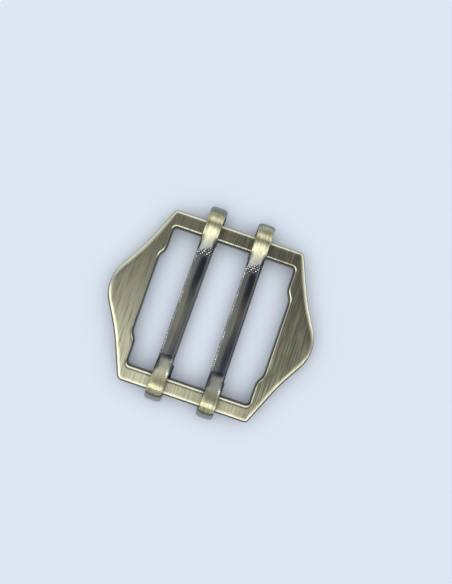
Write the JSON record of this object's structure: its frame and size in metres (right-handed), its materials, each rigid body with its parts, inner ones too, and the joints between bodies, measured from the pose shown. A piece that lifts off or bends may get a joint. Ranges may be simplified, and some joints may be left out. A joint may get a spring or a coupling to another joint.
{
  "type": "buckle slider",
  "caption": "Flat hexagonal strap slider with a rectangular window and loose knurled cross bars hooked round its rails.",
  "frame": {"origin": "centre of the bounding box's underside, on the plane that the bars' folded lips rest on", "axes": "+X along the rails, the way the bars slide; +Y along the bars, across the strap; +Z out of the brushed face"},
  "size_m": [0.0472, 0.0454, 0.0062],
  "materials": {
    "frame_brass": "antique brass plating, brushed along Y",
    "bar_brass": "antique brass plating, brushed hooks, dark unbrushed shank"
  },
  "bodies": {
    "frame": {"hex_frame": "frame_brass"},
    "left_bar": {"left_slide_bar": "bar_brass"},
    "right_bar": {"right_slide_bar": "bar_brass"}
  },
  "joints": [
    {"name": "left_bar_slide", "type": "slide", "parent": "frame", "child": "left_bar", "axis": [1, 0, 0], "range_m": [-0.0055, 0.0036]},
    {"name": "right_bar_slide", "type": "slide", "parent": "frame", "child": "right_bar", "axis": [1, 0, 0], "range_m": [-0.0031, 0.0062]}
  ]
}
